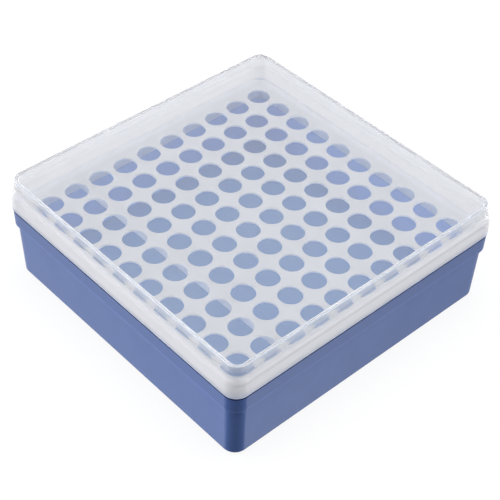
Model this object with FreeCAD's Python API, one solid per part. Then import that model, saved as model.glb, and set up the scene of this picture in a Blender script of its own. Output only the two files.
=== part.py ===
import FreeCAD, Part
import math
import os

# Cryogenic storage box for small screw-cap tubes: a moulded base tray, a perforated tube rack
# that drops into it, and a translucent lid. Millimetres, +Z up, origin at the centre of the
# underside. Every outline is a square with rounded corners, given by its half width and its
# corner radius.

# ---- driving dimensions ----
holes_per_side = 10
hole_pitch = 14.0
hole_diameter = 11.2

rack_top = 38.55            # height of the rack's top face above the table
box_height = 53.9           # height of the closed box

# base tray
base_bottom_half = 75.4
body_top_half = 76.1        # top of the plain lower body
body_top_height = 26.35
band_bottom_half = 77.2     # the wider band above the step
band_bottom_height = 28.45
band_top_half = 77.35
base_corner = 6.2
band_corner = 6.5
neck_half = 76.75           # the set-back rim above the band, leaving a gap under the lid
neck_height = 1.0
wall = 2.0
floor_thickness = 1.8
ledge_height = 27.55        # inner ledge behind the step
foot_width = 3.0            # the ring that the base stands on
foot_height = 0.8
base_edge_round = 1.0
neck_edge_round = 0.3

# tube rack
plate_thickness = 1.1
flange_half = 75.9
flange_corner = 9.0
skirt_gap = 0.3             # between the rack's skirt and the base's wall
skirt_wall = 1.2
skirt_bottom_gap = 0.2      # the skirt ends this far above the ledge
rib_thickness = 1.2
rib_depth = 2.4             # below the rack's top face
main_rib_depth = 6.0
rib_lines_x = (-2, 0, 2)    # ribs along Y, counted in pitches from the centre
rib_lines_y = (-1, 1, 3)    # ribs along X
main_rib_line_y = -3        # the one deep rib, along X

# lid
lid_wall = 1.5
lid_bottom_half = 77.65
lid_bottom_corner = 6.7
shoulder_low_half = 77.3    # the skirt ends here and leans in towards the upper tier
shoulder_low_corner = 6.4
shoulder_low_rise = 6.5     # above the rack's top face
shoulder_high_half = 76.0
shoulder_high_corner = 5.8
shoulder_high_rise = 10.3
shoulder_round = 4.0
lid_top_half = 75.7
lid_top_corner = 5.6
lid_edge_round = 0.6
lid_inner_round = 0.5       # where the top meets the tier's wall inside

rim_height = rack_top - plate_thickness     # the base's rim carries the flange and the lid


def rounded_square(half, corner, height):
    """A closed wire: four straight sides and four quarter arcs."""
    side = half - corner
    edges = []
    for quarter in range(4):
        turn = FreeCAD.Rotation(FreeCAD.Vector(0, 0, 1), 90 * quarter)
        start = turn.multVec(FreeCAD.Vector(half, -side, height))
        end = turn.multVec(FreeCAD.Vector(half, side, height))
        middle = turn.multVec(FreeCAD.Vector(side + corner * math.cos(math.pi / 4),
                                             side + corner * math.sin(math.pi / 4), height))
        finish = turn.multVec(FreeCAD.Vector(side, half, height))
        edges.append(Part.LineSegment(start, end).toShape())
        edges.append(Part.Arc(end, middle, finish).toShape())
    return Part.Wire(edges)


def stack(*sections):
    """A solid through rounded squares, each given as (half width, corner radius, height)."""
    return Part.makeLoft([rounded_square(*section) for section in sections], True, True)


def ring_edges(shape, height):
    """The edges of a solid that lie wholly at one height."""
    return [edge for edge in shape.Edges
            if abs(edge.BoundBox.ZMin - height) < 0.001 and abs(edge.BoundBox.ZMax - height) < 0.001]


def make_base():
    outside = stack((base_bottom_half, base_corner, 0),
                    (body_top_half, base_corner, body_top_height),
                    (band_bottom_half, band_corner, band_bottom_height),
                    (band_top_half, band_corner, rim_height - neck_height))
    outside = outside.makeFillet(base_edge_round, ring_edges(outside, 0))
    neck_corner = band_corner - (band_top_half - neck_half)
    neck = stack((neck_half, neck_corner, band_bottom_height), (neck_half, neck_corner, rim_height))
    outside = outside.fuse(neck.makeFillet(neck_edge_round, ring_edges(neck, rim_height)))
    cavity = stack((base_bottom_half - wall, base_corner - wall, floor_thickness),
                   (body_top_half - wall, base_corner - wall, ledge_height))
    cavity = cavity.makeFillet(base_edge_round, ring_edges(cavity, floor_thickness))
    upper = stack((band_top_half - wall, band_corner - wall, ledge_height),
                  (band_top_half - wall, band_corner - wall, rim_height + 1))
    recess_half = base_bottom_half - base_edge_round - foot_width
    recess = stack((recess_half, base_corner - wall, -1),
                   (recess_half, base_corner - wall, foot_height))
    return outside.cut(cavity.fuse(upper)).cut(recess)


def make_rib(line, depth, along_x, length):
    """A rib under the plate, on a line counted in hole pitches from the centre."""
    size_x = length if along_x else rib_thickness
    size_y = rib_thickness if along_x else length
    centre_x = 0 if along_x else line * hole_pitch
    centre_y = line * hole_pitch if along_x else 0
    corner = FreeCAD.Vector(centre_x - size_x / 2, centre_y - size_y / 2, rack_top - depth)
    return Part.makeBox(size_x, size_y, depth - plate_thickness / 2, corner)


def hole_centres():
    first = -(holes_per_side - 1) / 2 * hole_pitch
    for row in range(holes_per_side):
        for column in range(holes_per_side):
            yield first + column * hole_pitch, first + row * hole_pitch


def make_rack():
    skirt_half = band_top_half - wall - skirt_gap
    skirt_corner = band_corner - wall - skirt_gap
    skirt_bottom = ledge_height + skirt_bottom_gap
    plate = stack((flange_half, flange_corner, rim_height), (flange_half, flange_corner, rack_top))
    skirt = stack((skirt_half, skirt_corner, skirt_bottom), (skirt_half, skirt_corner, rim_height + 0.1))
    inside = stack((skirt_half - skirt_wall, skirt_corner - skirt_wall, skirt_bottom - 1),
                   (skirt_half - skirt_wall, skirt_corner - skirt_wall, rim_height))
    rib_length = 2 * (skirt_half - skirt_wall / 2)
    ribs = [make_rib(line, rib_depth, False, rib_length) for line in rib_lines_x]
    ribs += [make_rib(line, rib_depth, True, rib_length) for line in rib_lines_y]
    ribs.append(make_rib(main_rib_line_y, main_rib_depth, True, rib_length))
    rack = plate.fuse([skirt.cut(inside)] + ribs).removeSplitter()
    cutters = [Part.makeCylinder(hole_diameter / 2, box_height, FreeCAD.Vector(x, y, 0))
               for x, y in hole_centres()]
    return rack.cut(Part.makeCompound(cutters))


def make_lid():
    low = rack_top + shoulder_low_rise
    high = rack_top + shoulder_high_rise
    outside = stack((lid_bottom_half, lid_bottom_corner, rim_height),
                    (shoulder_low_half, shoulder_low_corner, low),
                    (shoulder_high_half, shoulder_high_corner, high),
                    (lid_top_half, lid_top_corner, box_height))
    outside = outside.makeFillet(shoulder_round, ring_edges(outside, low) + ring_edges(outside, high))
    outside = outside.makeFillet(lid_edge_round, ring_edges(outside, box_height))
    inside_low = low - lid_wall / 6
    inside_high = high - lid_wall / 6
    inside = stack((lid_bottom_half - lid_wall, lid_bottom_corner - lid_wall, rim_height - 0.01),
                   (shoulder_low_half - lid_wall, shoulder_low_corner - lid_wall, inside_low),
                   (shoulder_high_half - lid_wall, shoulder_high_corner - lid_wall, inside_high),
                   (lid_top_half - lid_wall, lid_top_corner - lid_wall, box_height - lid_wall))
    inside = inside.makeFillet(shoulder_round, ring_edges(inside, inside_low) + ring_edges(inside, inside_high))
    inside = inside.makeFillet(lid_inner_round, ring_edges(inside, box_height - lid_wall))
    return outside.cut(inside)


os.makedirs("parts", exist_ok=True)
for node, make in (("base_tray", make_base), ("tube_rack", make_rack), ("lid", make_lid)):
    shape = make()
    shape.exportStep("parts/" + node + ".step")
    print(node, "solids", len(shape.Solids), "valid", shape.isValid(), "volume", round(shape.Volume))
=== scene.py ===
# A studio view of the cryogenic storage box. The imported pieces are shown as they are: this script
# gives them their plastics, and adds a camera, a world background as the light, and a floor.
# Metres, +Z up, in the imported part's frame.

import math

import bpy
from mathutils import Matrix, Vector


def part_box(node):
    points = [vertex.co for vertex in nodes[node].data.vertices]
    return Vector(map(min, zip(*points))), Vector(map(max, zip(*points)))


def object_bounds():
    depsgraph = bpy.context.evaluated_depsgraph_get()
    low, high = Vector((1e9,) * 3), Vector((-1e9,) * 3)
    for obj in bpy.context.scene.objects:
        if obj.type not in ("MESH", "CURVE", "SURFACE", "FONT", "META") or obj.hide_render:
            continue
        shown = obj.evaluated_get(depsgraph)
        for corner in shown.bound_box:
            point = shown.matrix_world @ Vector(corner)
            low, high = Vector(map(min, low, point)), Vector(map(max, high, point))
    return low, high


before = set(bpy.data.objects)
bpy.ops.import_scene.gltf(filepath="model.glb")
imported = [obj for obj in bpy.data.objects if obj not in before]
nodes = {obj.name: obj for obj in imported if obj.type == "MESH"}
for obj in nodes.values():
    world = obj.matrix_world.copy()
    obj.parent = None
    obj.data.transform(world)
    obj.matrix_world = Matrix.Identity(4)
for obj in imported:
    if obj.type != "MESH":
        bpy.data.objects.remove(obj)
cad_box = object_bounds()
scene = bpy.context.scene
scene.view_settings.view_transform = "Standard"
scene.view_settings.look = "None"

TABLE = cad_box[0].z
HALF_WIDTH = cad_box[1].x
LID_TOP = cad_box[1].z
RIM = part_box("lid")[0].z                    # the base's rim, which carries the flange and the lid
RACK_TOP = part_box("tube_rack")[1].z


# ---------------------------------------------------------------- view
CAMERA_PLACE = (0.32262, -0.30517, 0.43179)
CAMERA_TURN = (46.976, -1.557, 47.939)      # degrees
CAMERA_LENS = 95.08                         # millimetres
SENSOR_WIDTH = 36

FRONT = (0.7266, -0.6870)                   # level direction from the box towards the camera
RIGHT = (-FRONT[1], FRONT[0])               # level direction to the right of the picture


def make_camera():
    data = bpy.data.cameras.new("camera")
    data.lens = CAMERA_LENS
    data.sensor_width = SENSOR_WIDTH
    data.clip_start = 0.01
    data.clip_end = 50
    camera = bpy.data.objects.new("camera", data)
    scene.collection.objects.link(camera)
    camera.location = CAMERA_PLACE
    camera.rotation_euler = [math.radians(angle) for angle in CAMERA_TURN]
    scene.camera = camera


# ---------------------------------------------------------------- node helpers
GRAIN_HEIGHT = 0.00001
NOISE_SPREAD = (0.3, 0.7)                   # the part of the noise's range that a pattern uses


class Nodes:
    """A short way to write a node tree. A value is a number, a colour or another node's output.
    A fade is a pair of rising values between which one look turns into the next."""

    def __init__(self, tree):
        self.tree = tree
        tree.nodes.clear()

    def add(self, kind, inputs, **settings):
        node = self.tree.nodes.new(kind)
        for name, value in settings.items():
            setattr(node, name, value)
        for name, value in inputs.items():
            socket = node.inputs[name]
            if isinstance(value, bpy.types.NodeSocket):
                self.tree.links.new(value, socket)
            else:
                socket.default_value = value
        return node

    def math(self, operation, first, second=0.0):
        return self.add("ShaderNodeMath", {0: first, 1: second}, operation=operation).outputs[0]

    def along(self, direction, axis):
        """How much of a direction lies along an axis."""
        node = self.add("ShaderNodeVectorMath", {0: direction, 1: axis}, operation="DOT_PRODUCT")
        return node.outputs["Value"]

    def ramp(self, value, low, high, to_low=0.0, to_high=1.0, smooth=True):
        """to_low at low, to_high at high, and level beyond them. low may be the larger one."""
        node = self.add("ShaderNodeMapRange",
                        {"Value": value, "From Min": low, "From Max": high,
                         "To Min": to_low, "To Max": to_high},
                        interpolation_type="SMOOTHSTEP" if smooth else "LINEAR")
        return node.outputs[0]

    def above(self, value, fade):
        return self.ramp(value, fade[0], fade[1])

    def below(self, value, fade):
        return self.ramp(value, fade[1], fade[0])

    def between(self, value, rise, fall):
        return self.math("MULTIPLY", self.above(value, rise), self.below(value, fall))

    def blend(self, share, first, second):
        """Between two numbers."""
        return self.add("ShaderNodeMix", {0: share, 2: first, 3: second},
                        data_type="FLOAT").outputs[0]

    def mix(self, share, first, second):
        """Between two colours."""
        return self.add("ShaderNodeMix", {0: share, 6: first, 7: second},
                        data_type="RGBA").outputs[2]

    def mix_shader(self, share, first, second):
        """Between two shaders."""
        return self.add("ShaderNodeMixShader", {0: share, 1: first, 2: second}).outputs[0]

    def split(self, coordinates):
        """X, Y and Z of the surface's place ("Object") or of the way it faces ("Normal")."""
        vector = self.add("ShaderNodeTexCoord", {}).outputs[coordinates]
        return self.add("ShaderNodeSeparateXYZ", {0: vector}).outputs

    def noise(self, scale, detail):
        place = self.add("ShaderNodeTexCoord", {}).outputs["Object"]
        node = self.add("ShaderNodeTexNoise", {"Vector": place, "Scale": scale, "Detail": detail})
        return node.outputs["Fac"]

    def patches(self, scale, detail, low=0.0, high=1.0):
        """Soft random patches between two numbers."""
        return self.ramp(self.noise(scale, detail), *NOISE_SPREAD, low, high)

    def grain(self, scale, strength):
        """The fine grain of a moulded surface."""
        node = self.add("ShaderNodeBump", {"Height": self.noise(scale, detail=2),
                                           "Distance": GRAIN_HEIGHT, "Strength": strength})
        return node.outputs[0]


def new_material(name):
    material = bpy.data.materials.new(name)
    material.use_nodes = True
    return material, Nodes(material.node_tree)


def grey(value):
    return (value, value, value, 1)


# ---------------------------------------------------------------- light
TOP_LIGHT = 4.05
TOP_FOCUS = 6.0                             # a higher focus keeps closer to the light's direction
ROOM_LIGHT = 0.145                          # from everywhere
SIDE_LIGHTS = ((-1, 14, 8.65), (1, 18, 6.25))       # left or right, degrees behind, strength
SIDE_FOCUS = 10.0

PANEL_MIRROR = 0.95                         # brightness of the panels, as glossy surfaces mirror it
DARK_MIRROR = 0.12                          # and of the dark in front of the box
TABLE_MIRROR = 0.77                         # the table, as a share from the dark to the panels
PANELS_END = (0.06, 0.26)                   # how far forward the panels reach
OVERHEAD_PANEL = (0.0, 0.35)                # how high up the one overhead begins
HORIZON = (-0.10, 0.0)                      # the table lies under it
RIGHT_TABLE = (-0.1, 0.1)                   # where the table's right part begins
RIGHT_TABLE_DEPTH = (-0.12, 0.10)           # from its back to its front the table brightens,
RIGHT_TABLE_CHANGE = (-0.234, 1.24)         # by these shares
SMALLEST_LEVEL = 0.01                       # keeps a division away from zero

BACKDROP = 1.02                             # seen past the floor's edge, even through the lid


def side_direction(side, degrees):
    """The level direction of a side light: -1 is the left and 1 the right, turned backwards."""
    angle = math.radians(degrees)
    return (side * RIGHT[0] * math.cos(angle) - FRONT[0] * math.sin(angle),
            side * RIGHT[1] * math.cos(angle) - FRONT[1] * math.sin(angle), 0)


def light_lobe(n, along, focus, strength):
    """A soft light, brightest where along is 1."""
    return n.math("MULTIPLY", n.math("POWER", n.math("MAXIMUM", along, 0.0), focus), strength)


def soft_light(n, direction, up):
    """The light on rough surfaces: from above, from both sides, and a little from everywhere."""
    light = n.math("ADD", light_lobe(n, up, TOP_FOCUS, TOP_LIGHT), ROOM_LIGHT)
    for side, degrees, strength in SIDE_LIGHTS:
        towards = n.along(direction, side_direction(side, degrees))
        light = n.math("ADD", light, light_lobe(n, towards, SIDE_FOCUS, strength))
    return light


def mirrored_light(n, direction, up):
    """What glossy surfaces mirror: white panels on both sides, behind and overhead, with the dark
    low down in front. Under the horizon is a pale table, which darkens on the right towards the
    back."""
    across = n.along(direction, (RIGHT[0], RIGHT[1], 0))
    front = n.along(direction, (FRONT[0], FRONT[1], 0))
    level = n.math("SQRT", n.math("ADD", n.math("MULTIPLY", across, across),
                                  n.math("MULTIPLY", front, front)))
    forward = n.math("DIVIDE", front, n.math("MAXIMUM", level, SMALLEST_LEVEL))
    panels = n.below(forward, PANELS_END)
    change = n.math("MULTIPLY", n.above(across, RIGHT_TABLE),
                    n.ramp(front, *RIGHT_TABLE_DEPTH, *RIGHT_TABLE_CHANGE, smooth=False))
    table = n.math("MAXIMUM", n.math("ADD", change, TABLE_MIRROR), 0.0)
    table = n.math("MULTIPLY", table, panels)
    over_table = n.math("MAXIMUM", panels, n.above(up, OVERHEAD_PANEL))
    lit = n.blend(n.above(up, HORIZON), table, over_table)
    return n.ramp(lit, 0.0, 1.0, DARK_MIRROR, PANEL_MIRROR, smooth=False)


def make_world():
    world = bpy.data.worlds.new("studio")
    scene.world = world
    world.use_nodes = True
    n = Nodes(world.node_tree)
    direction = n.add("ShaderNodeTexCoord", {}).outputs["Generated"]
    up = n.add("ShaderNodeSeparateXYZ", {0: direction}).outputs[2]
    path = n.add("ShaderNodeLightPath", {}).outputs
    strength = n.blend(path["Is Glossy Ray"], soft_light(n, direction, up),
                       mirrored_light(n, direction, up))
    seen = n.math("MAXIMUM", path["Is Camera Ray"], path["Is Transmission Ray"])
    strength = n.blend(seen, strength, BACKDROP)
    background = n.add("ShaderNodeBackground", {"Color": grey(1), "Strength": strength})
    n.add("ShaderNodeOutputWorld", {"Surface": background.outputs[0]})


FLOOR_HALF = 4.0
FLOOR_DROP = 0.0002                         # keeps the floor clear of the box's underside
FLOOR_GREY = 0.12
FLOOR_GLOW = 0.86


def make_floor():
    """A floor that takes the box's shadow, and neither shows in reflections nor lights the box."""
    mesh = bpy.data.meshes.new("floor")
    mesh.from_pydata([(-FLOOR_HALF, -FLOOR_HALF, 0), (FLOOR_HALF, -FLOOR_HALF, 0),
                      (FLOOR_HALF, FLOOR_HALF, 0), (-FLOOR_HALF, FLOOR_HALF, 0)],
                     [], [(0, 1, 2, 3)])
    floor = bpy.data.objects.new("floor", mesh)
    scene.collection.objects.link(floor)
    floor.location.z = TABLE - FLOOR_DROP
    floor.visible_glossy = False
    floor.visible_diffuse = False
    material, n = new_material("floor")
    matt = n.add("ShaderNodeBsdfDiffuse", {"Color": grey(FLOOR_GREY)})
    glow = n.add("ShaderNodeEmission", {"Color": grey(1), "Strength": FLOOR_GLOW})
    both = n.add("ShaderNodeAddShader", {0: matt.outputs[0], 1: glow.outputs[0]})
    n.add("ShaderNodeOutputMaterial", {"Surface": both.outputs[0]})
    mesh.materials.append(material)


# ---------------------------------------------------------------- materials
PLASTIC_IOR = 1.49
FACING_INWARD = (-0.01, 0.0)                # of the outward measure in facing_inward


def fade(start, low, high):
    """A fade along a height or a width, in millimetres from its start."""
    return start + low / 1000, start + high / 1000


def facing_inward(n, normal, place):
    """1 on walls that are seen from the middle of the box, 0 on walls seen from outside and on
    level faces. The normal is that of the side that a ray meets."""
    outward = n.math("ADD", n.math("MULTIPLY", normal[0], place[0]),
                     n.math("MULTIPLY", normal[1], place[1]))
    return n.below(outward, FACING_INWARD)


def set_surface(n, look, passed, passing=("Is Shadow Ray",)):
    """The material's output. Thin plastic lets light through: the passing kinds of ray go on
    behind it, tinted by the colour passed, and all others see the look."""
    clear = n.add("ShaderNodeBsdfTransparent", {"Color": passed}).outputs[0]
    path = n.add("ShaderNodeLightPath", {}).outputs
    for kind in passing:
        look = n.mix_shader(path[kind], look, clear)
    n.add("ShaderNodeOutputMaterial", {"Surface": look})


# the base
STEP_START = fade(TABLE, 25.6, 26.2)        # the step between the body and the band
STEP_END = fade(TABLE, 28.8, 29.7)
CAVITY_TOP = fade(TABLE, 28.0, 30.0)        # the floor and the ledge, level faces, lie below it
GROOVE_START = fade(RIM, -1.25, -1.1)       # the bottom of the gap between the band and the lid
GROOVE_END = fade(RIM, -0.8, -0.7)
FACING_UP = (0.4, 0.6)                      # of the normal's Z


def make_base_material():
    material, n = new_material("base_polypropylene")
    normal = n.split("Normal")
    place = n.split("Object")
    height = place[2]
    patches = n.patches(scale=60, detail=3)
    outer = n.mix(patches, (0.092, 0.170, 0.455, 1), (0.100, 0.182, 0.478, 1))
    # a painted highlight along the step, and painted shade that makes the band above it, under the
    # lid's skirt, a little darker
    outer = n.mix(n.between(height, STEP_START, STEP_END), outer, (0.120, 0.212, 0.560, 1))
    outer = n.mix(n.above(height, STEP_END), outer, (0.086, 0.160, 0.437, 1))
    inner_wall = facing_inward(n, normal, place)
    inner_floor = n.math("MULTIPLY", n.above(normal[2], FACING_UP), n.below(height, CAVITY_TOP))
    # inside, the walls are painted a lighter blue, painted light for light shining through them,
    # and the floor a darker blue, painted shade that offsets the light let through the rack
    inner = n.mix(patches, (0.055, 0.177, 0.378, 1), (0.060, 0.187, 0.394, 1))
    inner = n.mix(inner_wall, inner, (0.200, 0.420, 0.820, 1))
    colour = n.mix(n.math("MAXIMUM", inner_wall, inner_floor), outer, inner)
    plastic = n.add("ShaderNodeBsdfPrincipled",
                    {"Base Color": colour,
                     "Roughness": n.patches(scale=500, detail=2, low=0.16, high=0.24),
                     "IOR": PLASTIC_IOR, "Normal": n.grain(scale=2200, strength=0.4)})
    # painted shade: a dark line in the groove under the lid, which stays when the lid is lifted
    groove_shade = n.add("ShaderNodeBsdfDiffuse", {"Color": (0.016, 0.028, 0.095, 1)})
    look = n.mix_shader(n.between(height, GROOVE_START, GROOVE_END),
                        plastic.outputs[0], groove_shade.outputs[0])
    set_surface(n, look, (0.22, 0.34, 0.48, 1))
    return material


# the rack
TOP_FACE = fade(RACK_TOP, -0.2, -0.1)
PLATE_BORDER = fade(HALF_WIDTH, -7.15, -1.95)       # painted light: the plate's border is lighter than its middle, lifting the shade of the lid's walls
PLATE_GLOW = 0.5                            # share of the plate's look that light comes through
RACK_DEPTH = 0.003                          # how far light spreads below the surface


def make_rack_material():
    material, n = new_material("rack_polypropylene")
    place = n.split("Object")
    from_middle = n.math("MAXIMUM", n.math("ABSOLUTE", place[0]), n.math("ABSOLUTE", place[1]))
    patches = n.patches(scale=90, detail=3)
    # painted shade and light: the top face is a grey and the faces below it (rest) a near white, so
    # one white plastic looks even under the strong light from above
    white = n.mix(patches, (0.546, 0.540, 0.552, 1), (0.573, 0.566, 0.578, 1))
    white = n.mix(n.above(from_middle, PLATE_BORDER), white, (0.76, 0.755, 0.77, 1))
    roughness = n.patches(scale=700, detail=2, low=0.32, high=0.42)
    grain = n.grain(scale=1600, strength=0.3)
    skin = n.add("ShaderNodeBsdfPrincipled",
                 {"Base Color": white, "Roughness": roughness, "IOR": PLASTIC_IOR,
                  "Normal": grain})
    through = n.add("ShaderNodeBsdfTranslucent", {"Color": white})
    top = n.mix_shader(PLATE_GLOW, skin.outputs[0], through.outputs[0])
    rest = n.add("ShaderNodeBsdfPrincipled",
                 {"Base Color": (0.93, 0.94, 0.96, 1), "Roughness": roughness,
                  "IOR": PLASTIC_IOR, "Normal": grain, "Subsurface Weight": 1.0,
                  "Subsurface Radius": (1.0, 1.0, 1.0), "Subsurface Scale": RACK_DEPTH})
    look = n.mix_shader(n.above(place[2], TOP_FACE), rest.outputs[0], top)
    set_surface(n, look, (0.82, 0.86, 0.93, 1))
    return material


# the lid: share of white milk in each of its surfaces, the rest being clear
TOP_MILK = 0.09
TIER_LOW_MILK = 0.225                       # the walls seen from outside
TIER_HIGH_MILK = 0.34
SKIRT_MILK = 0.60
INNER_TIER_MILK = 0.45                      # the walls seen from inside
INNER_SKIRT_MILK = 0.74
EDGE_MILK = 0.78                            # the rounded edge of the top
OUTER_GLOW = 0.28                           # share of the milk that light comes through
INNER_GLOW = 0.55
EDGE_ROUGHNESS = 0.30
SKIRT_ROUGHNESS = 0.07
TIER_ROUGHNESS = 0.02

BOTTOM_EDGE = fade(RIM, 0.1, 0.2)           # hardly any light passes below it
SKIRT_FOOT = fade(RIM, 0.2, 1.2)            # painted blue light from the base below it
PLATE_LEVEL = fade(RACK_TOP, 0.0, 0.6)      # less light passes below it
SHADE_LINE_START = fade(RACK_TOP, 4.95, 5.75)      # the painted shade line along the shoulder
SHADE_LINE_END = fade(RACK_TOP, 6.15, 6.95)
ALL_WALL = fade(RACK_TOP, 6.45, 7.45)       # every face below it counts as a wall
SHOULDER = fade(RACK_TOP, 6.95, 9.95)       # from the skirt to the tier
HIGHLIGHT_LINE_START = fade(RACK_TOP, 7.05, 7.55)    # the painted highlight line along the shoulder
HIGHLIGHT_LINE_END = fade(RACK_TOP, 7.65, 8.15)
TIER_RISE = fade(RACK_TOP, 11.05, 12.75)    # from the tier's low milk to its high milk
TOP_EDGE = fade(LID_TOP, -2.1, -1.9)        # the rounded edge lies above it
RIGHT_SIDE = fade(HALF_WIDTH, -4.15, -1.15)         # along X

LEVEL_FACE = (0.35, 0.95)                   # of the normal's Z, from walls to level faces
ROUNDED_START = (0.05, 0.25)                # of the same, across the rounded edge
ROUNDED_END = (0.85, 0.99)


def lid_milk(n, height, wall, inner, rounded):
    """The share of milk at each point of the lid."""
    skirt = n.blend(inner, SKIRT_MILK, INNER_SKIRT_MILK)
    tier = n.blend(inner, n.ramp(height, *TIER_RISE, TIER_LOW_MILK, TIER_HIGH_MILK),
                   INNER_TIER_MILK)
    share = n.blend(wall, TOP_MILK, n.ramp(height, *SHOULDER, to_low=skirt, to_high=tier))
    return n.math("MAXIMUM", share, n.math("MULTIPLY", rounded, EDGE_MILK))


def lid_white(n, place, inner, rounded):
    """The colour of the milk."""
    height = place[2]
    # painted blue light at the skirt's foot, from the blue base under it
    white = n.mix(n.above(height, SKIRT_FOOT), (0.70, 0.79, 0.98, 1), (0.90, 0.895, 0.915, 1))
    white = n.mix(n.above(height, SHOULDER), white, (0.96, 0.97, 1.0, 1))
    # a painted highlight line over a painted shade line along the shoulder's edge, on the
    # right-hand side only
    right_side = n.above(place[0], RIGHT_SIDE)
    shade_line = n.math("MULTIPLY", right_side, n.between(height, SHADE_LINE_START, SHADE_LINE_END))
    highlight_line = n.math("MULTIPLY", right_side, n.between(height, HIGHLIGHT_LINE_START, HIGHLIGHT_LINE_END))
    white = n.mix(shade_line, white, (0.76, 0.755, 0.78, 1))
    white = n.mix(highlight_line, white, (0.98, 0.98, 1.0, 1))
    white = n.mix(rounded, white, (0.77, 0.81, 0.89, 1))
    # painted shade: faces seen from inside are a darker grey than those seen from outside,
    # offsetting the light that comes through them from behind
    return n.mix(inner, white, (0.76, 0.757, 0.775, 1))


def lid_passed(n, height, wall):
    """The tint of the light that the lid lets through. Its bottom edge shades the groove."""
    passed = n.mix(n.above(height, PLATE_LEVEL), (0.74, 0.75, 0.79, 1), (0.88, 0.88, 0.90, 1))
    passed = n.mix(n.below(height, BOTTOM_EDGE), passed, (0.05, 0.06, 0.09, 1))
    return n.mix(wall, (0.93, 0.94, 0.95, 1), passed)


def make_lid_material():
    material, n = new_material("lid_polypropylene")
    normal = n.split("Normal")
    place = n.split("Object")
    height = place[2]
    levelness = n.math("ABSOLUTE", normal[2])
    inner = facing_inward(n, normal, place)
    wall = n.math("MAXIMUM", n.below(levelness, LEVEL_FACE), n.below(height, ALL_WALL))
    rounded = n.math("MULTIPLY", n.between(levelness, ROUNDED_START, ROUNDED_END),
                     n.above(height, TOP_EDGE))
    wall_roughness = n.ramp(height, *SHOULDER, SKIRT_ROUGHNESS, TIER_ROUGHNESS)
    roughness = n.math("MAXIMUM", n.math("MULTIPLY", rounded, EDGE_ROUGHNESS),
                       n.math("MULTIPLY", wall, wall_roughness))
    glass = n.add("ShaderNodeBsdfPrincipled",
                  {"Base Color": (0.97, 0.98, 0.99, 1), "Transmission Weight": 1.0,
                   "Roughness": roughness, "IOR": PLASTIC_IOR})
    white = lid_white(n, place, inner, rounded)
    matt = n.add("ShaderNodeBsdfDiffuse", {"Color": white})
    through = n.add("ShaderNodeBsdfTranslucent", {"Color": white})
    milk = n.mix_shader(n.ramp(inner, 0.0, 1.0, OUTER_GLOW, INNER_GLOW),
                        matt.outputs[0], through.outputs[0])
    look = n.mix_shader(lid_milk(n, height, wall, inner, rounded), glass.outputs[0], milk)
    set_surface(n, look, lid_passed(n, height, wall), ("Is Diffuse Ray", "Is Shadow Ray"))
    return material


def dress(node, material):
    slots = nodes[node].data.materials
    for index in range(len(slots)):
        slots[index] = material


make_camera()
make_world()
make_floor()
dress("base_tray", make_base_material())
dress("tube_rack", make_rack_material())
dress("lid", make_lid_material())
